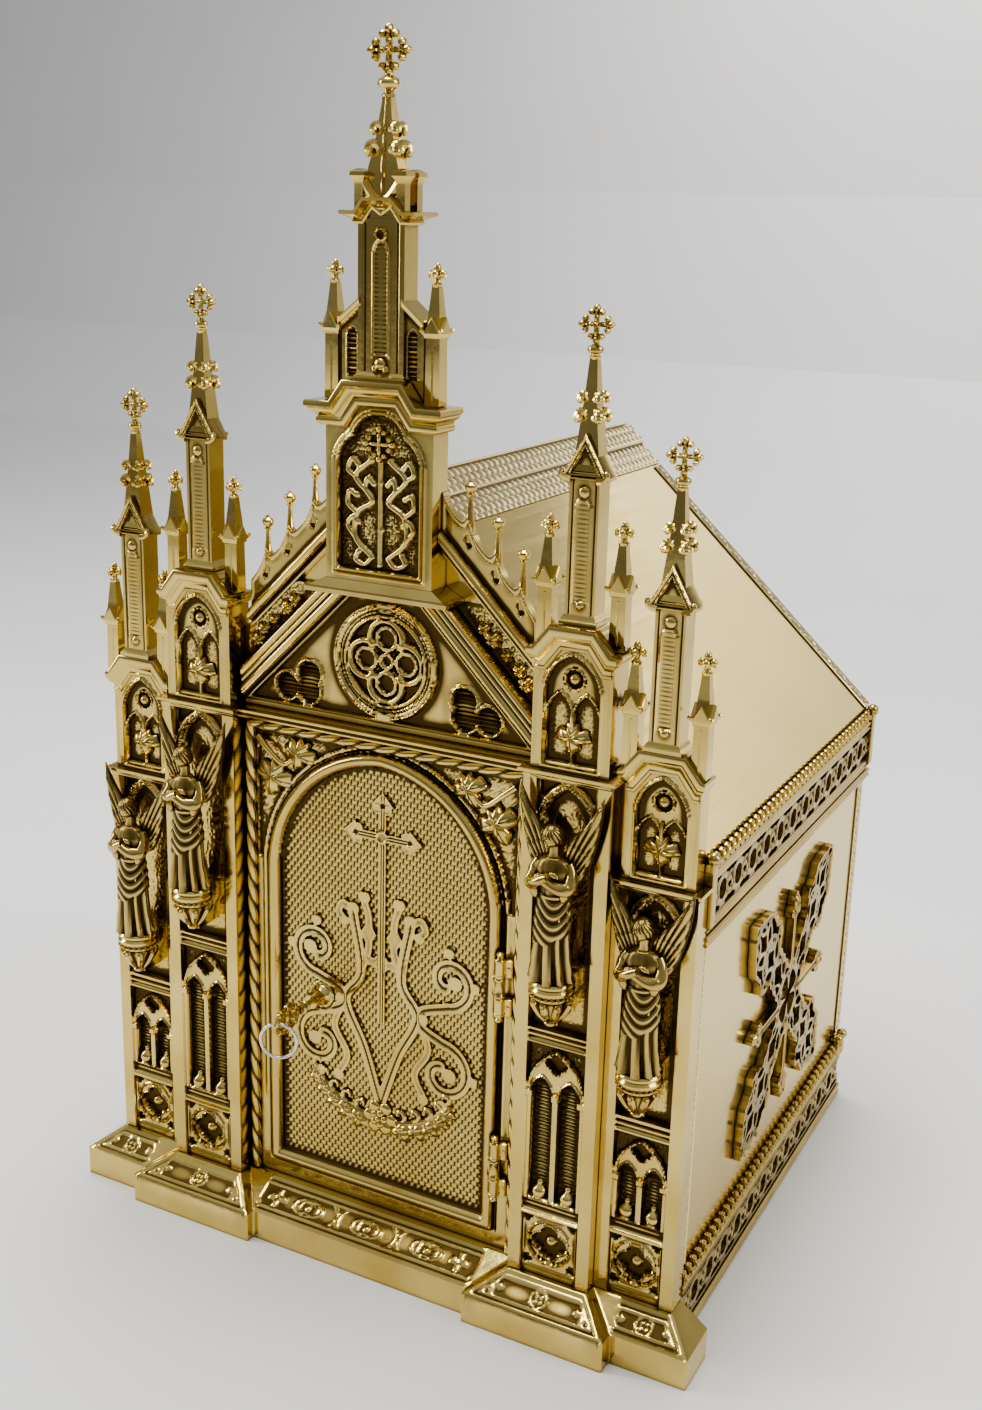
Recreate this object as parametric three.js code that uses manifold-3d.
// Gothic altar tabernacle in cast and sheet brass, in millimetres, +Z up.
// X runs to the viewer's right, Y runs back into the cabinet, and the front looks along -Y.
// While it is drawn, y = 0 is the front of the plinth's middle block. The last lines centre the whole.
import * as THREE from 'three';
import { mergeVertices } from 'three/addons/utils/BufferGeometryUtils.js';
import Module from 'manifold-3d';

const wasm = await Module();
wasm.setup();

// Clearance between two pieces that touch
const GAP = 0.3;

// Plinth
const plinthProud = 17.4;
const plinthFace = 19;
const plinthTop = 32;
const innerBlockOut = 168;
const innerBlockIn = 77;
const outerBlockFront = 4;
const innerBlockFront = -6;
const centreSlopeBack = 25;
const plinthPanelSink = 1;
const plinthPanelRim = 5;

// Piers: inner and outer pairs, with their statuettes' niches
const innerPierIn = 96.5;
const innerPierOut = 148.5;
const outerPierOut = 197.6;
const innerPierFront = 15;
const outerPierFront = 23;
const pilasterWidth = 8.3;
const nicheSink = 6;
const innerShelfTop = 345;
const outerShelfTop = 289;
const shelfThick = 5;
const shelfProud = 3;
const footPanelHeight = 40;
const sillHeight = 9;
const innerFigureBay = 244;
const outerFigureBay = 233;
const crossbarHeight = 10;
const quatrefoilRadius = 10.5;
const sillBall = 4.6;

// Pier heads with their hooded cornices
const headInset = 3;
const innerHeadHeight = 60;
const outerHeadHeight = 54.7;
const headSink = 2.4;
const corniceThick = 8;
const corniceProud = 5;
const hoodRise = 12;
// Foot and crown of a hood, as shares of its head's half width
const hoodFoot = 0.71;
const hoodCrown = 0.365;

// Pinnacles
const shaftHalf = 8.4;
const shaftDepthHalf = 6.7;
const shaftHeight = 73;
const pinnacleGable = 24;
const spireletHeight = 62;
const pinnacleCross = 10;
const pinnacleAxis = 28;
const smallInset = 5;
const smallHalf = 4.1;
const smallShaft = 31;
const smallSpire = 30;
const smallFinial = 3;

// Door, its surround and its fittings
const doorHalf = 81.5;
const doorFoot = 42;
const doorDrop = 100;
const archSteps = 5;
const doorRise = 87;
const doorGap = 0.5;
const doorRim = 11;
const doorCrest = 24;
const doorGround = 30;
const doorBack = 35;
const surroundFront = 28;
const ropeThick = 5.4;
const ropePitch = 26;
const strapThick = 1.8;
const strapWidth = 5;
const doorCrossWidth = 4.8;
const doorCrossLift = 34;
const doorCrossStem = 119;
const crossbarZ = 198.5;
const hingeHeights = [206, 88];
const hingeBarrel = 3.4;
const hingeLength = 36;
const hingePin = 1.4;
const hingeSlack = 0.35;
const lockX = -43;
const lockZ = 167;
const lockRadius = 9;
const lockFace = 16;
const keyShank = 1.8;
const keyBowLength = 26;
const keyRing = 11;
const keyRingWire = 1.1;

// Rose gable and its cresting
const stringThick = 6;
const roseLift = 40;
const roseRadius = 31;
const rosePlate = 29;
const gableRise = 121;
const crestingRise = 28;
const rakeWidth = 13;
const crestPlateHeight = 20;
const rakeField = 8;
const spikeXs = [50, 67.4, 83];
const spikeRise = 27;

// Middle tower
const towerHalf = 34;
const towerFront = 21;
const towerDrop = 42;
const towerShelf = 8;
const towerBody = 91;
const towerCorniceProud = 9;
const towerHood = 12;
const towerHoodFoot = 23;
const towerHoodCrown = 14.5;
const towerShaftHalf = 14.3;
const towerShaftHeight = 82;
const shoulderHalf = 25.5;
const shoulderRise = 31;
const towerAxis = 29;
const towerDepthHalf = 7;
const towerCrown = 23;
const towerSpire = 49;
const towerCross = 13;

// Cabinet of sheet metal
const cabinetInset = 3.6;
const cabinetFront = 37.3;
const cabinetBack = 366;
const cabinetWall = 2.5;
const eaveZ = 306;
const ridgeZ = 484;
const ridgeBandHalf = 26;
const ridgeCapHalf = 12;
const ridgeBandThick = 1.5;
const stripWidth = 11;
const stripThick = 1.3;
const galleryProud = 5;
const eaveGalleryFoot = 253;
const eaveBand = 23;
const baseBand = 24;
const baseFoot = 10;
const galleryRail = 6;
const eaveMoulding = 14;
const crestRise = 8;
const galleryBays = 13;
const galleryBall = 4;
const galleryBallLift = 11;
const sideCrossArm = 112;
const sideCrossThick = 4.2;

// Statuettes
const figureHeight = 90;
const figureProud = 12;
const bracketRadius = 13.2;
const bracketDrop = 28.6;
const bracketClear = 9.5;
const bracketProud = 9;

// Sizes that follow from the ones above
const plinthHalf = outerPierOut + plinthProud;
const cabinetHalf = outerPierOut - cabinetInset;
const innerTraceryHeight = innerShelfTop - innerFigureBay;
const outerTraceryHeight = outerShelfTop - outerFigureBay;
const doorSpring = innerShelfTop - doorDrop;
const roseZ = innerShelfTop + roseLift;
const lowerRakeSum = innerShelfTop + gableRise;
const upperRakeSum = lowerRakeSum + crestingRise;
const towerFoot = lowerRakeSum - towerDrop;
const castBack = cabinetFront - GAP;
const hingeX = doorHalf + doorGap / 2;
const hingeY = doorCrest - 0.5;

const polished = new THREE.MeshStandardMaterial({ color: 0xc9a24a, roughness: 0.22, metalness: 1 });
const antiqued = new THREE.MeshStandardMaterial({ color: 0x9c7430, roughness: 0.38, metalness: 1 });
const sheet = new THREE.MeshStandardMaterial({ color: 0xd8c27e, roughness: 0.12, metalness: 1 });
const steel = new THREE.MeshStandardMaterial({ color: 0xb9bcc0, roughness: 0.25, metalness: 1 });

// A closed geometry as a solid that can be joined and cut
function solidOf(geometry) {
  geometry.deleteAttribute('normal');
  geometry.deleteAttribute('uv');
  const merged = mergeVertices(geometry, 1e-4);
  return new wasm.Manifold(new wasm.Mesh({
    numProp: 3,
    vertProperties: new Float32Array(merged.attributes.position.array),
    triVerts: new Uint32Array(merged.index.array),
  }));
}

function fuse(solids) {
  return solids.flat(4).reduce((sum, next) => sum.add(next));
}

function box(x0, x1, y0, y1, z0, z1) {
  const geometry = new THREE.BoxGeometry(x1 - x0, y1 - y0, z1 - z0);
  return solidOf(geometry.translate((x0 + x1) / 2, (y0 + y1) / 2, (z0 + z1) / 2));
}

function shapeOf(points) {
  return new THREE.Shape(points.map(([u, v]) => new THREE.Vector2(u, v)));
}

// An outline in x and z, made solid from y = front to y = back
function plate(points, front, back) {
  const geometry = new THREE.ExtrudeGeometry(shapeOf(points), { depth: back - front, bevelEnabled: false });
  return solidOf(geometry.rotateX(Math.PI / 2).translate(0, back, 0));
}

// An outline in y and z, made solid from x = left to x = right
function sidePlate(points, left, right) {
  const geometry = new THREE.ExtrudeGeometry(shapeOf(points), { depth: right - left, bevelEnabled: false });
  const turn = new THREE.Matrix4().makeBasis(
    new THREE.Vector3(0, 1, 0), new THREE.Vector3(0, 0, 1), new THREE.Vector3(1, 0, 0));
  return solidOf(geometry.applyMatrix4(turn).translate(left, 0, 0));
}

function signedVolume(points, faces) {
  let sum = 0;
  for (let f = 0; f < faces.length; f += 3) {
    const [a, b, c] = [0, 1, 2].map((k) => new THREE.Vector3(...points[faces[f + k]]));
    sum += a.dot(b.cross(c));
  }
  return sum;
}

// A plan outline in x and y, made solid from z = foot to z = top
function upright(points, foot, top) {
  const geometry = new THREE.ExtrudeGeometry(shapeOf(points), { depth: top - foot, bevelEnabled: false });
  return solidOf(geometry.translate(0, 0, foot));
}

// Rings of equal count joined by quads from the first to the last, with flat ends
function skin(rings) {
  const count = rings[0].length;
  const points = rings.flat();
  const faces = [];
  for (let r = 0; r + 1 < rings.length; r += 1) {
    for (let i = 0; i < count; i += 1) {
      const a = r * count + i;
      const b = r * count + (i + 1) % count;
      faces.push(a, b, b + count, a, b + count, a + count);
    }
  }
  const last = (rings.length - 1) * count;
  for (let i = 1; i + 1 < count; i += 1) {
    faces.push(0, i + 1, i, last, last + i, last + i + 1);
  }
  if (signedVolume(points, faces) < 0) faces.reverse();
  const geometry = new THREE.BufferGeometry();
  geometry.setAttribute('position', new THREE.Float32BufferAttribute(points.flat(), 3));
  geometry.setIndex(faces);
  return solidOf(geometry);
}

function rectangle(cx, cy, halfX, halfY, z) {
  return [[cx - halfX, cy - halfY, z], [cx + halfX, cy - halfY, z],
    [cx + halfX, cy + halfY, z], [cx - halfX, cy + halfY, z]];
}

// A square stack of levels, each [z, halfX, halfY], on an upright axis
function stack(cx, cy, levels) {
  return skin(levels.map(([z, halfX, halfY]) => rectangle(cx, cy, halfX, halfY ?? halfX, z)));
}

function bud(x, y, z, radius) {
  return solidOf(new THREE.OctahedronGeometry(radius, 0).translate(x, y, z));
}

// A turned piece: profile of [radius, height] about an axis along Z, or along -Y when it faces front
function turned(profile, sides, x, y, z, facing = false) {
  const geometry = new THREE.LatheGeometry(profile.map(([r, h]) => new THREE.Vector2(r, h)), sides);
  geometry.rotateX(facing ? Math.PI : Math.PI / 2);
  return solidOf(geometry.translate(x, y, z));
}

function disc(cx, cz, radius, sides, start = 0) {
  return Array.from({ length: sides }, (_, i) => {
    const turn = start + (i / sides) * Math.PI * 2;
    return [cx + Math.cos(turn) * radius, cz + Math.sin(turn) * radius];
  });
}

// Half of a two-centred pointed arch on the right side, from its springing up to the apex
function archHalf(half, spring, rise, steps) {
  const offset = (rise * rise - half * half) / (2 * half);
  const radius = half + offset;
  const end = Math.atan2(rise, offset);
  return Array.from({ length: steps + 1 }, (_, i) => {
    const turn = (end * i) / steps;
    return [radius * Math.cos(turn) - offset, spring + radius * Math.sin(turn)];
  });
}

// Outline of an arched opening or leaf, from its foot round the arch and back
function archOutline(cx, half, foot, spring, rise, steps) {
  const right = archHalf(half, spring, rise, steps);
  const left = right.slice(0, -1).reverse().map(([x, z]) => [-x, z]);
  return [[-half, foot], [half, foot], ...right, ...left].map(([x, z]) => [cx + x, z]);
}

// A flat strap of even width along a line of [x, z] points, from y = front to y = back
function strap(points, width, front, back) {
  return skin(points.map(([x, z], i) => {
    const [ax, az] = points[Math.max(i - 1, 0)];
    const [bx, bz] = points[Math.min(i + 1, points.length - 1)];
    const share = width / (2 * Math.hypot(bx - ax, bz - az));
    const [ux, uz] = [-(bz - az) * share, (bx - ax) * share];
    return [[x + ux, front, z + uz], [x - ux, front, z - uz], [x - ux, back, z - uz], [x + ux, back, z + uz]];
  }));
}

const root = new THREE.Group();

function add(name, solids, material) {
  const mesh = fuse([solids]).getMesh();
  const geometry = new THREE.BufferGeometry();
  geometry.setAttribute('position', new THREE.BufferAttribute(new Float32Array(mesh.vertProperties), 3));
  geometry.setIndex(new THREE.BufferAttribute(new Uint32Array(mesh.triVerts), 1));
  geometry.computeVertexNormals();
  const piece = new THREE.Mesh(geometry, material.clone());
  piece.name = name;
  root.add(piece);
}

const flip = (points) => points.map(([x, z]) => [-x, z]);
const sides = [['left', -1], ['right', 1]];

// Plinth: five blocks, each a bevelled step; the inner blocks stand forward
function plinthBlock(x0, x1, front, top0, top1, topFront) {
  const back = castBack;
  const level = (a, b, f, z) => [[a, f, z], [b, f, z], [b, back, z], [a, back, z]];
  return skin([level(x0, x1, front, 0), level(x0, x1, front, plinthFace), level(top0, top1, topFront, plinthTop)]);
}

// Sunk panel in a block's slope, given by the slope's four corners in x and y
function slopeSink(x0, x1, front, top0, top1, topFront) {
  const rise = plinthTop - plinthFace;
  const at = (share, z) => [
    [x0 + (top0 - x0) * share + plinthPanelRim * 1.6, front + (topFront - front) * share, z],
    [x1 + (top1 - x1) * share - plinthPanelRim * 1.6, front + (topFront - front) * share, z],
  ];
  const low = 0.24;
  const high = 0.78;
  const lower = at(low, plinthFace + rise * low);
  const upper = at(high, plinthFace + rise * high);
  const floor = [...lower, ...upper.slice().reverse()].map(([x, y, z]) => [x, y, z - plinthPanelSink]);
  const lid = floor.map(([x, y, z]) => [x, y - plinthPanelRim, z + plinthPanelRim + plinthPanelSink]);
  return skin([floor, lid]);
}

function makePlinth() {
  const inner = [innerBlockIn, innerBlockOut, innerBlockFront, innerPierIn, innerPierOut, innerPierFront];
  const outer = [innerPierIn, plinthHalf, outerBlockFront, innerPierIn, outerPierOut, outerPierFront];
  const outerShown = [innerPierOut + plinthPanelRim, plinthHalf, outerBlockFront, innerPierOut, outerPierOut,
    outerPierFront];
  const mirror = ([a, b, f, ta, tb, tf]) => [-b, -a, f, -tb, -ta, tf];
  const middle = [-innerPierIn, innerPierIn, 0, -innerPierIn, innerPierIn, centreSlopeBack];
  const middleShown = [-innerBlockIn, innerBlockIn, 0, -innerPierIn, innerPierIn, centreSlopeBack];
  const blocks = [middle, inner, mirror(inner), outer, mirror(outer)].map((b) => plinthBlock(...b));
  const panels = [middleShown, inner, mirror(inner), outerShown, mirror(outerShown)];
  const sinks = panels.map((b) => slopeSink(...b));
  add('stepped_plinth', fuse(blocks).subtract(fuse(sinks)), polished);
}

// Outline of a four-lobed figure: two points on each lobe's crown and one at each cusp
function quatrefoil(cx, cz, radius) {
  return Array.from({ length: 12 }, (_, i) => {
    const turn = ((i - (i % 3)) / 3) * (Math.PI / 2) + [-0.4, 0.4, Math.PI / 4][i % 3];
    const reach = radius * (i % 3 === 2 ? 0.6 : 1);
    return [cx + Math.cos(turn) * reach, cz + Math.sin(turn) * reach];
  });
}

// Twin lancets under an ogee, cut through a thin plate
function traceryPlate(cx, half, foot, height, front, back) {
  const bar = 1.7;
  const light = half / 2 - bar;
  const spring = foot + height - half * 1.95;
  const panel = box(cx - half, cx + half, front, back, foot, foot + height);
  const lights = [-1, 1].map((s) => plate(
    archOutline(cx + (s * half) / 2, light, foot - 1, spring, light * 1.5, 2), front - 1, back + 1));
  const eye = plate(disc(cx, spring + half * 1.02, half * 0.24, 4), front - 1, back + 1);
  return panel.subtract(fuse([lights, eye]));
}

function makePier(name, cx, half, front, shelfTop, traceryHeight) {
  const back = castBack;
  const bed = front + nicheSink;
  const foot = plinthTop + GAP;
  const top = shelfTop - shelfThick;
  const clear = half - pilasterWidth;
  const panelTop = foot + footPanelHeight;
  const sillTop = panelTop + sillHeight;
  const traceryTop = sillTop + traceryHeight;
  const barTop = traceryTop + crossbarHeight;
  const body = upright([[cx - half, front], [cx - clear, front], [cx - clear, bed], [cx + clear, bed],
    [cx + clear, front], [cx + half, front], [cx + half, back], [cx - half, back]], foot, top);
  const quatre = plate(quatrefoil(cx, foot + footPanelHeight / 2 + 3, quatrefoilRadius), front, bed - 1);
  const footPanel = box(cx - clear, cx + clear, front + 1.5, bed, foot, panelTop).subtract(quatre);
  const sill = sidePlate([[front - 0.8, panelTop], [bed, panelTop], [bed, sillTop], [front + 1, panelTop + 4]],
    cx - clear, cx + clear);
  const tracery = traceryPlate(cx, clear, sillTop - 1, traceryHeight + 1.5, front + 1, bed);
  const balls = [-1, 1].map((s) => bud(cx + (s * clear) / 2, front + 2.6, sillTop + sillBall - 1, sillBall * 1.15));
  const bar = box(cx - clear, cx + clear, front + 0.6, bed, traceryTop, barTop);
  const archFoot = top - clear * 1.55;
  const arch = box(cx - clear, cx + clear, front + 2, bed, archFoot, top).subtract(plate(
    archOutline(cx, clear - 2.6, archFoot - 1, archFoot, clear * 1.28, 2), front, bed + 1));
  const shelf = sidePlate([[front - shelfProud, top + 2], [front, top], [back, top], [back, shelfTop],
    [front - shelfProud, shelfTop]], cx - half, cx + half);
  add(name, [body, footPanel, sill, tracery, balls, bar, arch, shelf], polished);
}

// Hood outline: level, up over the crown and level again, at the given height
function hoodLine(cx, half, foot, crown, z, rise) {
  return [[-half, z], [-foot, z], [-crown, z + rise], [crown, z + rise], [foot, z], [half, z]]
    .map(([x, h]) => [cx + x, h]);
}

function hoodBand(cx, half, foot, crown, z, rise, thick, front, back) {
  const lower = hoodLine(cx, half, foot, crown, z, rise);
  const upper = hoodLine(cx, half, foot + thick * 0.25, crown + thick * 0.2, z + thick, rise);
  return plate([...lower, ...upper.reverse()], front, back);
}

// A small hanging vine leaf of three lobes with a raised middle
function leaf(cx, cz, radius, bed, proud, turn) {
  const outline = Array.from({ length: 6 }, (_, i) => {
    const angle = turn + ((i + 1) * Math.PI) / 3;
    const reach = i % 2 ? radius * 0.62 : radius;
    return [cx + Math.cos(angle) * reach, cz + Math.sin(angle) * reach];
  });
  const ring = (y, share) => outline.map(([x, z]) => [cx + (x - cx) * share, y, cz + (z - cz) * share]);
  return skin([ring(bed + 0.5, 1), ring(bed - proud, 0.4)]);
}

function makePierHead(name, cx, half, front, shelfTop, headHeight) {
  const foot = shelfTop + GAP;
  const width = half - headInset;
  const hood = [half * hoodFoot, half * hoodCrown];
  const top = foot + headHeight;
  const face = front + headInset - 1;
  const sink = face + headSink;
  const body = plate([[cx - width, foot], [cx + width, foot],
    ...hoodLine(cx, width, ...hood, top, hoodRise).reverse()], face, castBack);
  const clear = width - pilasterWidth + 1;
  const panel = plate(archOutline(cx, clear, foot + 3, top - 16, 21, 2), face - 1, sink);
  const light = clear / 2 - 0.9;
  const lights = [-1, 1].map((s) => plate(
    archOutline(cx + (s * clear) / 2, light, foot + 4, top - 30, light * 1.7, 2), face - 1, sink + headSink));
  const boss = bud(cx, sink, top - 9, 4.4);
  const hanging = leaf(cx, foot + 19, 7, sink, 3, Math.PI / 2);
  const band = hoodBand(cx, half, ...hood, top, hoodRise, corniceThick, face - corniceProud, castBack);
  add(name, [body.subtract(fuse([panel, lights])), boss, hanging, band], polished);
}

// A cross with flowered ends, cut from thick plate
function crossFinial(cx, cy, cz, reach, thick) {
  const arm = [[0.3, -0.12], [0.7, -0.42], [1, 0], [0.7, 0.42]];
  const outline = [0, 1, 2, 3].flatMap((k) => arm.map(([along, side]) => {
    const turn = (k * Math.PI) / 2;
    return [cx + reach * (Math.cos(turn) * along - Math.sin(turn) * side),
      cz + reach * (Math.sin(turn) * along + Math.cos(turn) * side)];
  }));
  return plate(outline, cy - thick / 2, cy + thick / 2);
}

// Crockets on the four arrises of a spirelet
function crockets(cx, cy, z, halfX, halfY, radius) {
  return [[-1, -1], [1, -1], [-1, 1], [1, 1]].map(([sx, sy]) => bud(cx + sx * halfX, cy + sy * halfY, z, radius));
}

function makePinnacle(name, cx, seat) {
  const cy = pinnacleAxis;
  const foot = seat + GAP;
  const eave = foot + 5 + shaftHeight;
  const apex = eave + pinnacleGable - 4;
  const face = cy - shaftDepthHalf;
  const neck = eave + spireletHeight;
  const rake = shaftHalf + 3.2;
  const shaft = stack(cx, cy, [[foot, shaftHalf + 2.4, shaftDepthHalf + 2], [foot + 5, shaftHalf, shaftDepthHalf],
    [eave - 2.4, shaftHalf, shaftDepthHalf], [eave, rake + 0.8, shaftDepthHalf + 2.6],
    [eave + 3, shaftHalf - 0.8, shaftDepthHalf - 0.6], [eave + 24, 4.6, 4.6], [eave + 39, 3.4, 3.4],
    [eave + 41, 6, 5.4], [neck - 3, 2], [neck + 1, 3.8], [neck + 3 + pinnacleCross, 1.4]]);
  const slot = plate(archOutline(cx, 3.1, foot + 12, eave - 16, 5, 1), face - 1, face + 1.6);
  const gable = plate([[cx - rake, eave - 1], [cx + rake, eave - 1], [cx, apex]], face - 1.6, cy + 2);
  const sunk = plate([[cx - rake + 5.4, eave - 2], [cx + rake - 5.4, eave - 2], [cx, apex - 8]],
    face - 3, face + 0.2);
  const low = crockets(cx, cy, eave + 32, 6, 5.4, 3.6);
  const cross = crossFinial(cx, cy, neck + 3 + pinnacleCross, pinnacleCross, 4);
  add(name, [shaft.subtract(slot), gable.subtract(sunk), low, cross], polished);
}

// The space that a hood takes above its cornice, with clearance
function hoodWedge(cx, half, z) {
  const foot = half * hoodFoot + corniceThick * 0.25 + GAP;
  const crown = half * hoodCrown + corniceThick * 0.2 + GAP;
  return plate([[cx - foot, z - 1], [cx + foot, z - 1], [cx + foot, z + GAP], [cx + crown, z + hoodRise + GAP],
    [cx - crown, z + hoodRise + GAP], [cx - foot, z + GAP]], 0, castBack);
}

function makeSmallPinnacle(name, cx, cy, seat, shaftLength, hood) {
  const foot = seat + GAP;
  const collar = foot + shaftLength;
  const neck = collar + smallSpire - 4;
  const heart = neck + 2 + smallFinial;
  const shaft = stack(cx, cy, [[foot, smallHalf], [collar, smallHalf], [collar + 2, smallHalf + 1.9],
    [neck, 1.5], [heart, smallFinial * 1.2], [heart + smallFinial * 2, 0.6]]);
  const gablet = plate([[cx - smallHalf - 1.5, collar + 1], [cx + smallHalf + 1.5, collar + 1],
    [cx, collar + 8]], cy - smallHalf - 2.2, cy + smallHalf + 2.2);
  add(name, [hood ? shaft.subtract(hood) : shaft, gablet], polished);
}

// A statuette: robed, winged, head bowed, arms crossed. Sizes are shares of its height.
function makeAngel(name, cx, front, feet) {
  const h = figureHeight;
  const cy = front - figureProud;
  const levels = [[0, 0.12, 0.095, 1], [0.3, 0.1, 0.085, 0.8], [0.6, 0.09, 0.072, 0.3], [0.79, 0.11, 0.07, 0],
    [0.88, 0.034, 0.034, 0]];
  const around = 8;
  const robe = skin(levels.map(([z, w, d, folds]) => Array.from({ length: around }, (_, i) => {
    const turn = (i / around) * Math.PI * 2;
    const fold = 1 + 0.11 * folds * (i % 2 ? 1 : -1);
    const sway = 0.012 * h * Math.sin(z * Math.PI);
    return [cx + sway + Math.cos(turn) * w * h * fold, cy + Math.sin(turn) * d * h * fold, feet + z * h];
  })));
  const headZ = feet + h * 0.928;
  const headRings = [[-0.07, 0.022], [-0.03, 0.056], [0.03, 0.058], [0.07, 0.024]];
  const head = skin(headRings.map(([z, r]) => Array.from({ length: 6 }, (_, i) => {
    const turn = (i / 6) * Math.PI * 2;
    return [cx + Math.cos(turn) * r * h, cy - h * (0.02 - 0.3 * z) + Math.sin(turn) * r * h * 1.1, headZ + z * h];
  })));
  const sleeve = (s) => skin([[0.79, 0.11, -0.01, 0.03], [0.65, 0.125, -0.06, 0.047],
    [0.7, -0.045, -0.105, 0.026]].map(([z, x, y, r]) => Array.from({ length: 4 }, (_, i) => {
      const turn = s * (i / 4) * Math.PI * 2;
      return [cx + s * x * h + Math.cos(turn) * r * h * 0.9, cy + y * h + Math.sin(turn) * r * h * 0.8,
        feet + (z + s * 0.007) * h + Math.sin(turn) * r * h * 0.75];
    })));
  const wing = (s) => plate([[0.03, 0.68], [0.12, 0.62], [0.25, 0.92], [0.27, 1.19], [0.1, 0.93],
    [0.03, 0.84]].map(([x, z]) => [cx + s * x * h, feet + z * h]), cy + h * 0.047, cy + h * 0.08);
  const spine = box(cx - h * 0.043, cx + h * 0.043, cy, cy + h * 0.066, feet + h * 0.7, feet + h * 0.81);
  add(name, [robe, head, [-1, 1].map((s) => sleeve(s)), [-1, 1].map((s) => wing(s)), spine], antiqued);
}

function makeBracket(name, cx, front, feet) {
  const cy = front - bracketProud;
  const bed = front + nicheSink - GAP;
  const top = feet - GAP;
  const r = bracketRadius;
  const cup = turned([[0, -bracketDrop], [2.4, -bracketDrop], [r * 0.5, -14],
    [r, -8], [r, -2], [0, 0]], 8, cx, cy, top);
  const tail = stack(cx, (cy + bed) / 2, [[top - bracketDrop, 4, (bed - cy) / 2], [top - 10, 8, (bed - cy) / 2]]);
  add(name, [cup, tail], polished);
}

// Surround of the door: sunk spandrels, rope moulding and vine leaves
function ropeBar(from, to) {
  const along = new THREE.Vector3(to[0] - from[0], 0, to[1] - from[1]);
  const steps = Math.max(2, Math.round(along.length() / ropePitch));
  const across = new THREE.Vector3(-along.z, 0, along.x).normalize().multiplyScalar(ropeThick / 2);
  return skin(Array.from({ length: steps + 1 }, (_, k) => {
    const [x, z] = [from[0] + (along.x * k) / steps, from[1] + (along.z * k) / steps];
    const lean = k % 2 ? 0.45 : -0.45;
    return [[x - across.x, surroundFront + 1, z - across.z],
      [x + across.x * lean, surroundFront - ropeThick * 0.8, z + across.z * lean],
      [x + across.x, surroundFront + 1, z + across.z]];
  }));
}

function makeSurround() {
  const half = innerPierIn - GAP;
  const foot = plinthTop + GAP;
  const top = innerShelfTop - stringThick - GAP;
  const panel = box(-half, half, surroundFront, castBack, foot, top);
  const opening = plate(archOutline(0, doorHalf + doorGap, doorFoot - doorGap, doorSpring, doorRise + doorGap, archSteps),
    surroundFront - 1, castBack + 1);
  const ropeX = half - ropeThick * 0.75;
  const ropeZ = top - ropeThick * 0.75;
  const ropes = [ropeBar([-ropeX, ropeZ], [-ropeX, foot]), ropeBar([ropeX, foot], [ropeX, ropeZ]),
    ropeBar([ropeX, ropeZ], [-ropeX, ropeZ])];
  const leaves = [-1, 1].map((s) => [leaf(s * 78, top - 34, 11, surroundFront, 5, Math.PI / 2),
    leaf(s * 59, top - 16.5, 10, surroundFront, 5, 0.4 * s)]);
  const pockets = fuse(hingeHeights.map(hingePocket));
  add('door_surround', fuse([panel.subtract(opening), ropes, leaves]).subtract(pockets), polished);
}

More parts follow.
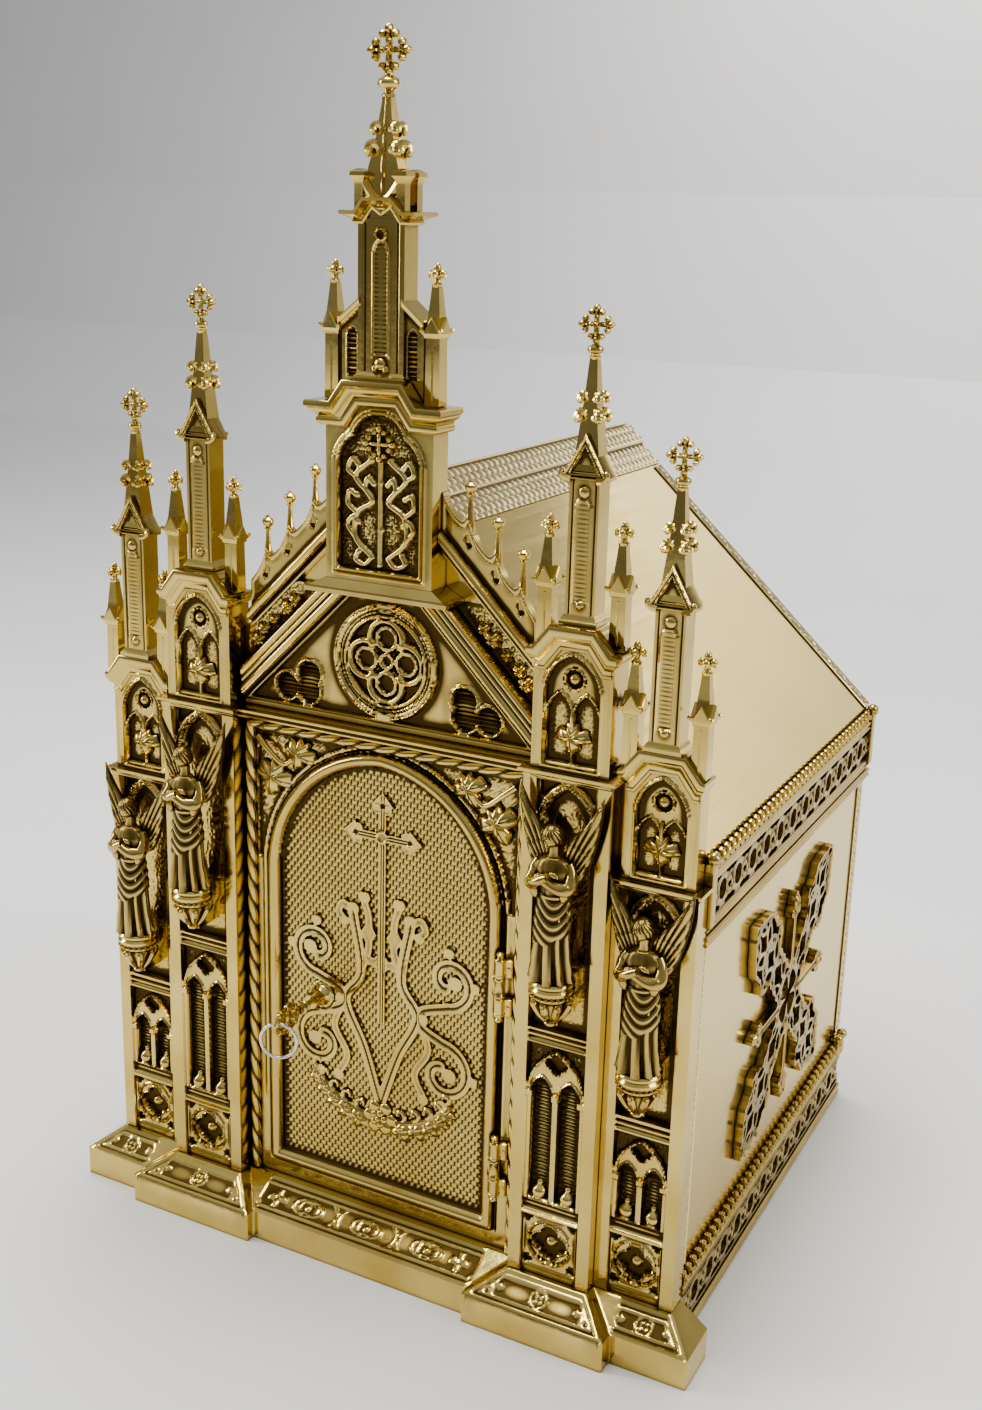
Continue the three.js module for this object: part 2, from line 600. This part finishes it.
function makeDoor() {
  const outline = (inset, foot) => archOutline(0, doorHalf - inset, foot, doorSpring, doorRise - inset, archSteps);
  const leafPlate = plate(outline(0, doorFoot), doorGround, doorBack);
  const rim = (inset, width, crest) => plate(outline(inset, doorFoot + inset), crest, doorGround + 1)
    .subtract(plate(outline(inset + width, doorFoot + inset + width), crest - 1, doorGround + 2));
  const rims = rim(0, doorRim, doorCrest + 1);
  const pockets = fuse(hingeHeights.map(hingePocket));
  add('door_leaf', [fuse([leafPlate, rims]).subtract(pockets), hingeHeights.map(doorKnuckle)], antiqued);

  const front = doorGround - GAP - strapThick;
  const back = doorGround - GAP;
  const crossZ = doorSpring + doorCrossLift;
  const stemHalf = doorCrossWidth / 2;
  const stemFoot = crossZ - doorCrossStem;
  const flare = (dx, dz) => {
    const side = [-dz, dx];
    const at = (along, out) => [dx * along + side[0] * out, crossZ + dz * along + side[1] * out];
    return plate([at(0, -stemHalf), at(9, -stemHalf), at(13, -6.5), at(24, 0), at(13, 6.5), at(9, stemHalf),
      at(0, stemHalf)], front, back);
  };
  const stem = box(-stemHalf, stemHalf, front, back, stemFoot, crossZ);
  add('door_cross', [flare(0, 1), flare(1, 0), flare(-1, 0), stem], polished);

  // Mirrored volutes around a long lozenge: a general strapwork pattern
  const volute = (cx, cz, from, to, start, turns, side) => Array.from({ length: 7 }, (_, i) => {
    const turn = start + side * turns * Math.PI * 2 * (i / 6);
    const reach = from + ((to - from) * i) / 6;
    return [cx + Math.cos(turn) * reach, cz + Math.sin(turn) * reach];
  });
  const straps = [-1, 1].map((s) => {
    const mirrorX = (points) => points.map(([x, z]) => [s * x, z]);
    return [volute(46, 198, 17, 5, -Math.PI / 2, 0.95, 1), volute(43, 137, 20, 5, Math.PI / 2, 0.95, -1),
      [[46, 181], [28, 174], [28, 164], [43, 157]], [[20, 228], [14, 190], [25, 169], [12, 140], [0, 104]]]
      .map((line) => strap(mirrorX(line), strapWidth, front, back));
  });
  const bar = box(-16, 16, front, back, crossbarZ - strapWidth / 2, crossbarZ + strapWidth / 2);
  const curls = [-3, 3].map((k) => strap([[k * 2.2, 98], [k * 10, 104], [k * 15, 97], [k * 9, 93]], 5, front - 1, back));
  const rosette = turned([[0, 0], [12, 0], [6, 2.6], [0, 2]], 6, 0, back, 98, true);
  add('door_strapwork', fuse([straps, bar, curls, rosette])
    .subtract(box(-stemHalf - GAP, stemHalf + GAP, front - 9, back + 1, stemFoot - GAP, crossZ))
    .subtract(plate(disc(lockX, lockZ, lockRadius + 2 * GAP, 12), front - 9, back + 1)), polished);

  const lockDepth = doorGround - lockFace;
  const shell = turned([[0, 0], [lockRadius, 0], [lockRadius, 3], [lockRadius * 0.6, 5],
    [lockRadius * 0.5, lockDepth], [0, lockDepth]], 10, lockX, doorGround - GAP, lockZ, true);
  const keyhole = box(lockX - keyShank - GAP, lockX + keyShank + GAP, lockFace - 2, lockFace + 7,
    lockZ - keyShank - GAP, lockZ + keyShank + GAP);
  add('lock_boss', shell.subtract(keyhole), polished);
}

function makeKey() {
  const shankTip = lockFace + 5;
  const bowFront = lockFace - 12;
  const shank = turned([[0, 0], [keyShank, 0], [keyShank, shankTip - bowFront], [0, shankTip - bowFront]], 6,
    lockX, shankTip, lockZ, true);
  const collar = turned([[0, 0], [4, 0], [4, 3], [0, 3]], 6, lockX, bowFront + 4, lockZ, true);
  const bowMid = bowFront - keyBowLength / 2;
  const outline = disc(0, 0, 1, 10).map(([u, v]) => [bowMid + u * keyBowLength * 0.5, lockZ + v * 8.5]);
  const holes = [-1, 1].map((s) => sidePlate(disc(bowMid - 2, lockZ + s * 3.6, 2.2, 4), lockX - 4, lockX + 4));
  const eye = sidePlate(disc(bowMid - keyBowLength / 2 + 4.4, lockZ, 2.4, 5), lockX - 4, lockX + 4);
  const bow = sidePlate(outline, lockX - 1.6, lockX + 1.6).subtract(fuse([holes, eye]));
  const ward = box(lockX - 1.2, lockX + 1.2, bowFront - 5, bowFront + 6, lockZ - 3, lockZ + 3);
  add('key', [shank, collar, bow, ward], polished);
  const eyeY = bowMid - keyBowLength / 2 + 4.4;
  const ringGeometry = new THREE.TorusGeometry(keyRing, keyRingWire, 4, 12);
  const tilt = 0.35;
  ringGeometry.rotateX(Math.PI / 2).rotateZ(tilt)
    .translate(lockX, eyeY, lockZ - keyRing + 0.6);
  add('key_ring', solidOf(ringGeometry), steel);
}

// Barrel hinges: the frame half holds the pin, the middle knuckle is part of the door leaf
const knuckleLength = hingeLength / 3;

function barrel(z0, z1) {
  return turned([[0, 0], [hingeBarrel, 0], [hingeBarrel, z1 - z0], [0, z1 - z0]], 8, hingeX, hingeY, z0);
}

function hingePocket(mid) {
  const reach = hingeBarrel + doorGap;
  const length = hingeLength + 2 * (hingeBarrel + 1.2);
  return turned([[0, 0], [reach, 0], [reach, length], [0, length]], 8, hingeX, hingeY, mid - length / 2);
}

function doorKnuckle(mid) {
  const bottom = mid - knuckleLength / 2;
  const reach = hingePin + hingeSlack;
  const bore = turned([[0, -1], [reach, -1], [reach, knuckleLength + 1], [0, knuckleLength + 1]], 6,
    hingeX, hingeY, bottom);
  const web = box(hingeX - hingeBarrel - 2, hingeX - hingeBarrel * 0.6, hingeY, doorGround + 1, bottom,
    bottom + knuckleLength);
  return barrel(bottom, bottom + knuckleLength).add(web).subtract(bore);
}

function makeHinges() {
  hingeHeights.forEach((mid, i) => {
    const low = mid - hingeLength / 2;
    const high = low + hingeLength;
    const pin = turned([[0, 0], [hingePin, 0], [hingePin, hingeLength], [0, hingeLength]], 6, hingeX, hingeY, low);
    const tips = [low - 0.6, high + 0.6].map((z) => bud(hingeX, hingeY, z, hingeBarrel));
    const ends = [[low, low + knuckleLength - GAP], [high - knuckleLength + GAP, high]].map(([z0, z1]) => [
      barrel(z0, z1),
      box(hingeX + hingeBarrel * 0.4, hingeX + hingeBarrel + 3.9, hingeY, surroundFront - GAP, z0, z1),
    ]);
    add(`hinge_${i ? 'lower' : 'upper'}`, [pin, tips, ends], polished);
  });
}

// Rose gable over the door, with its string course and lower rakes
function rakeBand(sum, width, inner, outer, front, back, side) {
  const points = [[inner, sum - inner], [outer, sum - outer], [outer, sum - outer - width * Math.SQRT2],
    [inner, sum - inner - width * Math.SQRT2]];
  return plate(side > 0 ? points : flip(points), front, back);
}

function makeRoseGable() {
  const half = innerPierIn - GAP;
  const foot = innerShelfTop - stringThick;
  const shelfFoot = towerFoot - GAP;
  const step = upperRakeSum - rakeField - GAP;
  const field = plate([[-half, foot], [half, foot], [half, step - half], [step - shelfFoot, shelfFoot],
    [shelfFoot - step, shelfFoot], [-half, step - half]], rosePlate + 4, castBack);
  const string = sidePlate([[rosePlate - 12, foot + 2], [rosePlate - 9, foot], [castBack, foot],
    [castBack, innerShelfTop + 1], [rosePlate - 12, innerShelfTop]], -half, half);
  const inner = lowerRakeSum - shelfFoot;
  const wedge = plate([[-half, innerShelfTop], [half, innerShelfTop], [half, lowerRakeSum - half],
    [inner, shelfFoot], [-inner, shelfFoot], [-half, lowerRakeSum - half]], rosePlate, castBack);
  const ringSides = 12;
  const sink = plate(disc(0, roseZ, roseRadius - 2.6, ringSides), rosePlate - 1, rosePlate + 2.6);
  const lobes = plate(quatrefoil(0, roseZ, roseRadius * 0.8), rosePlate, rosePlate + 5.4);
  const ring = plate(disc(0, roseZ, roseRadius, ringSides), rosePlate - 2.4, rosePlate + 4)
    .subtract(plate(disc(0, roseZ, roseRadius - 3, ringSides), rosePlate - 3, rosePlate + 5));
  const cusps = [0, 1, 2, 3].map((i) => {
    const turn = Math.PI / 4 + (i * Math.PI) / 2;
    return bud(Math.cos(turn) * 15, rosePlate + 2.4, roseZ + Math.sin(turn) * 15, 2.8);
  });
  const spandrels = [-1, 1].map((s) => plate([[s * 80, innerShelfTop + 5], [s * 38, innerShelfTop + 5],
    [s * 36, roseZ - 8], [s * 40, roseZ + 14]], rosePlate - 1, rosePlate + 2.6));
  const rakes = [-1, 1].map((s) => rakeBand(lowerRakeSum, rakeWidth, inner, half, rosePlate - 6, castBack, s));
  const foliage = [-1, 1].map((s) => [88, 68].map((x) => leaf(
    s * x, upperRakeSum - 20 - x, 7, rosePlate + 4, 5, Math.PI / 2)));
  const solid = wedge.subtract(fuse([sink, lobes, spandrels]));
  add('rose_gable', [field.subtract(lobes), solid, string, ring, cusps, rakes, foliage], polished);
}

// Cresting above each rake: a plate with hollowed steps and three ball-tipped spikes
function makeCresting(name, side) {
  const inner = towerHalf + GAP;
  const outer = innerPierIn - 3;
  const crest = (x) => upperRakeSum + crestPlateHeight - x;
  const low = upperRakeSum - rakeField;
  const outline = [[inner, Math.max(low - inner, towerFoot + towerShelf + GAP)],
    [low - towerFoot - towerShelf - GAP, towerFoot + towerShelf + GAP], [outer, low - outer]];
  outline.push([outer, crest(outer) - 2]);
  const stops = [...spikeXs].reverse();
  stops.forEach((x, i) => {
    const next = stops[i + 1] ?? inner;
    outline.push([x + 5, crest(x) - 1], [x, crest(x) + 9], [(x + next) / 2 + 1.5, crest(x) + 2]);
  });
  outline.push([inner, crest(inner) + 6]);
  const front = rosePlate + 3;
  const body = plate(side > 0 ? outline : flip(outline), front, castBack);
  const spikes = spikeXs.map((x) => {
    const z = crest(x);
    const cy = (front + castBack) / 2;
    return [stack(side * x, cy, [[z - 4, 2.2], [z + spikeRise - 4, 1.3]]),
      bud(side * x, cy, z + spikeRise - 3, 3.6)];
  });
  const moulding = rakeBand(upperRakeSum + 3, 4.4, inner, outer, front - 5, castBack, side);
  add(name, [body, spikes, moulding], polished);
}

// Tower: shelf, trefoil-headed panel and wide hooded cornice
function makeTowerPanel() {
  const foot = towerFoot + towerShelf;
  const top = foot + towerBody;
  const front = towerFront;
  const shelf = skin([rectangle(0, (front - 5 + castBack) / 2, towerHalf + 12, (castBack - front + 5) / 2, towerFoot),
    rectangle(0, (front - 5 + castBack) / 2, towerHalf + 12, (castBack - front + 5) / 2, towerFoot + 2),
    rectangle(0, (front + castBack) / 2, towerHalf, (castBack - front) / 2, foot)]);
  const body = plate([[-towerHalf, foot - 1], [towerHalf, foot - 1],
    ...hoodLine(0, towerHalf, towerHoodFoot, towerHoodCrown, top, towerHood).reverse()], front, castBack);
  const clear = towerHalf - pilasterWidth;
  const arch = plate(archOutline(0, clear * 0.62, foot + 20, top - 10, 16, 4), front - 1, front + 5);
  const panel = plate(archOutline(0, clear, foot + 7, top - 26, 14, 3), front - 1, front + 5);
  const scrolls = [-1, 1].map((s) => strap([[5, 14], [16, 24], [15, 38], [5, 46], [16, 58], [6, 70]].map(
    ([x, z]) => [s * x, foot + z]), 3.2, front + 2, front + 6));
  const spine = box(-1.4, 1.4, front + 3, front + 6, foot + 12, foot + 74);
  const star = leaf(0, foot + 80, 8, front + 5, 3, Math.PI / 2);
  const wide = towerHalf + towerCorniceProud;
  const band = hoodBand(0, wide, towerHoodFoot, towerHoodCrown, top, towerHood, corniceThick,
    front - towerCorniceProud, castBack);
  const fillet = hoodBand(0, towerHalf + 4, towerHoodFoot - 1, towerHoodCrown - 1, top - 5, towerHood, 5.5,
    front - 4, castBack);
  add('tower_panel_stage', [shelf, body.subtract(fuse([arch, panel])), scrolls, spine, star, band, fillet],
    polished);
}

// Tower: shaft with sloping shoulders, small cornice, corner posts, crocketed spire and cross
function makeTowerShaft() {
  const seat = towerFoot + towerShelf + towerBody + corniceThick + GAP;
  const foot = seat + towerHood;
  const cy = towerAxis;
  const face = cy - towerDepthHalf;
  const top = foot + towerShaftHeight;
  const base = stack(0, cy, [[foot, towerShaftHalf + 0.8, towerDepthHalf + 2],
    [foot + 3, towerShaftHalf, towerDepthHalf]]);
  const shaft = box(-towerShaftHalf, towerShaftHalf, face, cy + towerDepthHalf, foot, top + 1);
  const slot = plate(archOutline(0, 4.8, foot + 10, top - 12, 6, 3), face - 1, face + 2.2);
  const cusp = bud(0, face + 1, foot + 7, 3);
  const shoulderTop = foot + shoulderRise;
  const shoulders = [-1, 1].map((s) => {
    const points = [[towerShaftHalf - 2, foot + GAP], [towerHoodCrown + 2, foot + GAP],
      [shoulderHalf, seat + GAP], [shoulderHalf, shoulderTop], [towerShaftHalf - 2, shoulderTop + 11]];
    return plate(s > 0 ? points : flip(points), face + 2, cy + towerDepthHalf - 1);
  });
  const crown = hoodBand(0, towerCrown, 12, 6.5, top, 7, 5, face - 5, cy + towerDepthHalf + 4);
  const crownBody = plate([[-towerShaftHalf, top - 1], [towerShaftHalf, top - 1],
    ...hoodLine(0, towerShaftHalf, 11.5, 6, top + 4, 7).reverse()], face - 2, cy + towerDepthHalf + 2);
  const postTop = top + 25;
  const posts = [[-1, -1], [1, -1], [-1, 1], [1, 1]].map(([sx, sy]) => stack(
    sx * (towerShaftHalf - 1.6), cy + sy * (towerDepthHalf - 0.6), [[top + 3, 2.4], [postTop, 3.2],
      [postTop + 4, 1]]));
  const fins = [face - 0.4, cy + towerDepthHalf - 1.2].map((y) => plate([[-towerShaftHalf + 1, top + 3],
    [towerShaftHalf - 1, top + 3], [towerShaftHalf - 1, postTop - 3], [0, top + 13],
    [1 - towerShaftHalf, postTop - 3]], y, y + 1.6));
  const spireFoot = top + 8;
  const neck = top + 16 + towerSpire;
  const spire = stack(0, cy, [[spireFoot, towerShaftHalf - 3, towerDepthHalf - 1], [top + 27, 9.2, 5.6],
    [top + 42, 5.4, 4.4], [neck - 2, 3, 3], [neck + 4, 5.4, 5.4], [neck + 6 + towerCross, 2, 2]]);
  const low = crockets(0, cy, top + 37, 9, 6, 4.2);
  const cross = crossFinial(0, cy, neck + 6 + towerCross, towerCross, 6);
  add('tower_shaft_stage', [base, shaft.subtract(slot), cusp, shoulders, crown, crownBody, posts, fins, spire,
    low, cross], polished);
}

// Cabinet: house-shaped box of sheet metal, open to the door
function houseOutline(inset) {
  const slope = (ridgeZ - eaveZ) / cabinetHalf;
  const drop = inset * Math.hypot(1, slope);
  const half = cabinetHalf - inset;
  return [[-half, inset], [half, inset], [half, eaveZ + inset * slope - drop], [0, ridgeZ - drop],
    [-half, eaveZ + inset * slope - drop]];
}

function makeCabinet() {
  const outside = plate(houseOutline(0), cabinetFront, cabinetBack);
  const inside = plate(houseOutline(cabinetWall), cabinetFront + cabinetWall, cabinetBack - cabinetWall);
  const way = plate(archOutline(0, doorHalf - 6, doorFoot + 6, doorSpring, doorRise - 6, archSteps),
    cabinetFront - 1, cabinetFront + cabinetWall + 1);
  add('cabinet_shell', outside.subtract(inside).subtract(way), sheet);
}

// A layer that lies on both roof slopes, from the ridge out to the given half width
function ridgeLayer(half, lift, thick) {
  const slope = (ridgeZ - eaveZ) / cabinetHalf;
  const rise = Math.hypot(1, slope);
  const low = (x) => ridgeZ - slope * Math.abs(x) + lift * rise;
  const high = (x) => low(x) + thick * rise;
  return plate([[-half, low(half)], [0, low(0)], [half, low(half)], [half, high(half)], [0, high(0)],
    [-half, high(half)]], cabinetFront, cabinetBack);
}

function makeRidgeBand() {
  const lower = ridgeLayer(ridgeBandHalf, GAP, ridgeBandThick);
  const cap = ridgeLayer(ridgeCapHalf, GAP + ridgeBandThick / 2, ridgeBandThick * 2);
  add('ridge_band', [lower, cap], sheet);
}

function sideBox(side, out0, out1, y0, y1, z0, z1) {
  const a = side * (cabinetHalf + out0);
  const b = side * (cabinetHalf + out1);
  return box(Math.min(a, b), Math.max(a, b), y0, y1, z0, z1);
}

function sideShape(side, out0, out1, points) {
  const a = side * (cabinetHalf + out0);
  const b = side * (cabinetHalf + out1);
  return sidePlate(points, Math.min(a, b), Math.max(a, b));
}

function makeEdgeStrips(label, side) {
  const railTop = baseFoot + baseBand + galleryRail;
  const high = eaveGalleryFoot - GAP;
  add(`front_edge_strip_${label}`, sideBox(side, GAP, GAP + stripThick, cabinetFront, cabinetFront + stripWidth,
    railTop + crestRise + GAP, high), antiqued);
  add(`rear_edge_strip_${label}`, sideBox(side, GAP, GAP + stripThick, cabinetBack - stripWidth, cabinetBack,
    railTop + galleryBallLift + galleryBall + GAP, high), antiqued);
  const slope = (ridgeZ - eaveZ) / cabinetHalf;
  const rise = Math.hypot(1, slope);
  const from = ridgeBandHalf + 1;
  const to = cabinetHalf;
  const z = (x, lift) => ridgeZ - slope * x + lift * rise;
  const points = [[from, z(from, GAP)], [to, z(to, GAP)], [to, z(to, GAP + stripThick)],
    [from, z(from, GAP + stripThick)]];
  add(`roof_edge_strip_${label}`, plate(side > 0 ? points : flip(points), cabinetBack - stripWidth, cabinetBack),
    antiqued);
}

// Pierced plate of a gallery, from z = foot: band pierced by lozenges, then the crest
function galleryPlate(side, foot, bandFoot, bandTop, crestFoot) {
  const bay = (cabinetBack - cabinetFront) / galleryBays;
  const mids = Array.from({ length: galleryBays }, (_, i) => cabinetFront + (i + 0.5) * bay);
  const outline = [[cabinetBack, foot], [cabinetFront, foot], [cabinetFront, crestFoot + crestRise],
    [cabinetBack, crestFoot + crestRise]];
  const heart = (bandFoot + bandTop) / 2;
  const tall = (bandTop - bandFoot) / 2 - 1.7;
  const cuts = mids.map((y) => sideShape(side, -1, galleryProud, [[y - bay * 0.36, heart], [y, heart - tall],
    [y + bay * 0.36, heart], [y, heart + tall]]));
  return sideShape(side, GAP, galleryProud - 1.5, outline).subtract(fuse(cuts));
}

function makeGalleries(label, side) {
  const y0 = cabinetFront;
  const y1 = cabinetBack;
  const out = galleryProud;
  const rail = (low, high) => sideBox(side, GAP, out, y0, y1, low, high);
  const eaveBandFoot = eaveGalleryFoot + eaveMoulding;
  const eaveTop = eaveBandFoot + eaveBand;
  const posts = [y0 + 3.5, y1 - 3.5].map((y) => [
    sideBox(side, GAP, out + 1.2, y - 3.5, y + 3.5, eaveBandFoot - 3, eaveTop + galleryRail + 5),
    bud(side * (cabinetHalf + GAP + galleryBall), y, eaveTop + galleryRail + 7.5, galleryBall)]);
  add(`eave_gallery_${label}`, [
    galleryPlate(side, eaveGalleryFoot, eaveBandFoot, eaveTop, eaveTop + galleryRail),
    rail(eaveGalleryFoot, eaveGalleryFoot + 6), rail(eaveBandFoot - 5, eaveBandFoot),
    rail(eaveTop, eaveTop + galleryRail), posts], antiqued);

  const baseTop = baseFoot + baseBand;
  const railTop = baseTop + galleryRail;
  const endBalls = [y1 - 4, y1 - 14].map((y) => [
    sideBox(side, GAP, out, y - 2, y + 2, railTop - 1, railTop + 9),
    bud(side * (cabinetHalf + GAP + galleryBall), y,
      railTop + galleryBallLift, galleryBall)]);
  add(`base_gallery_${label}`, [galleryPlate(side, 0, baseFoot, baseTop, railTop), rail(0, baseFoot - 2),
    rail(baseTop, railTop), endBalls], antiqued);
}

// Pierced diagonal cross on each side wall, with cusped ends and a ring at its middle
function makeSideCross(label, side) {
  const mid = [(cabinetFront + cabinetBack) / 2 + 4, 151];
  const turnTo = (k) => Math.PI / 4 + (k * Math.PI) / 2;
  const place = (k, along, out) => {
    const a = turnTo(k);
    return [mid[0] + Math.cos(a) * along - Math.sin(a) * out, mid[1] + Math.sin(a) * along + Math.cos(a) * out];
  };
  const tip = sideCrossArm;
  const arm = (k) => [[0, -15], [tip * 0.53, -14], [tip * 0.57, -26], [tip * 0.74, -18], [tip * 0.84, -22],
    [tip, 0], [tip * 0.84, 22], [tip * 0.74, 18], [tip * 0.57, 26], [tip * 0.53, 14], [0, 15]]
    .map(([along, out]) => place(k, along, out));
  const holes = (k) => [[[22, 0], [36, -10.5], [58, 0], [36, 10.5]],
    [[70, 0], [86, -15], [103, 0], [86, 15]]]
    .map((line) => line.map(([along, out]) => place(k, (along * tip) / 112, out)));
  const out0 = GAP;
  const out1 = GAP + sideCrossThick;
  const arms = [0, 1, 2, 3].map((k) => sideShape(side, out0, out1, arm(k)));
  const cuts = [0, 1, 2, 3].flatMap((k) => holes(k).map((line) => sideShape(side, -1, out1 + 1, line)));
  const hub = sideShape(side, out0, out1, disc(mid[0], mid[1], 19, 8));
  const hubHole = sideShape(side, -1, out1 + 1, disc(mid[0], mid[1], 9, 4));
  const knobs = [0, 1, 2, 3].map((k) => {
    const a = (k * Math.PI) / 2;
    const at = (along, w) => [mid[0] + Math.cos(a) * along - Math.sin(a) * w,
      mid[1] + Math.sin(a) * along + Math.cos(a) * w];
    return [sideShape(side, out0, out1, [at(10, -2.4), at(56, -2.4), at(66, -6), at(72, 0), at(66, 6), at(56, 2.4),
      at(10, 2.4)])];
  });
  add(`side_cross_${label}`, fuse([arms, hub, knobs]).subtract(fuse([cuts, hubHole])), antiqued);
}

makePlinth();
makeCabinet();
makeRidgeBand();
for (const [label, side] of sides) {
  const innerHalf = (innerPierOut - innerPierIn) / 2;
  const outerHalf = (outerPierOut - innerPierOut - GAP) / 2;
  const rows = [
    ['inner', innerPierIn + innerHalf, innerHalf, innerPierFront, innerShelfTop, innerTraceryHeight,
      innerHeadHeight],
    ['outer', outerPierOut - outerHalf, outerHalf, outerPierFront, outerShelfTop, outerTraceryHeight,
      outerHeadHeight],
  ];
  for (const [kind, centre, half, front, shelfTop, traceryHeight, headHeight] of rows) {
    const cx = side * centre;
    const seat = shelfTop + GAP + headHeight + corniceThick;
    const feet = plinthTop + GAP + footPanelHeight + sillHeight + traceryHeight + crossbarHeight
      + bracketClear + bracketDrop + GAP;
    makePier(`pier_${kind}_${label}`, cx, half, front, shelfTop, traceryHeight);
    makeBracket(`bracket_${kind}_${label}`, cx, front, feet);
    makeAngel(`angel_${kind}_${label}`, cx, front, feet);
    makePierHead(`pier_head_${kind}_${label}`, cx, half, front, shelfTop, headHeight);
    makePinnacle(`pinnacle_${kind}_${label}`, cx, seat + hoodRise);
    for (const [place, offset] of [['a', smallInset - half], ['b', half - smallInset]]) {
      makeSmallPinnacle(`small_pinnacle_${kind}_${label}_${place}`, cx + offset, pinnacleAxis - 1, seat, smallShaft,
        hoodWedge(cx, half, seat));
    }
  }
  makeCresting(`cresting_${label}`, side);
  makeSmallPinnacle(`tower_pinnacle_${label}`, side * 31.5, towerAxis - 2,
    towerFoot + towerShelf + towerBody + corniceThick, smallShaft + 6);
  makeEdgeStrips(label, side);
  makeGalleries(label, side);
  makeSideCross(label, side);
}
makeSurround();
makeDoor();
makeKey();
makeHinges();
makeRoseGable();
makeTowerPanel();
makeTowerShaft();

// Centre the plan on the origin
const reach = new THREE.Box3().setFromObject(root);
root.position.set(-(reach.min.x + reach.max.x) / 2, -(reach.min.y + reach.max.y) / 2, 0);

export default root;
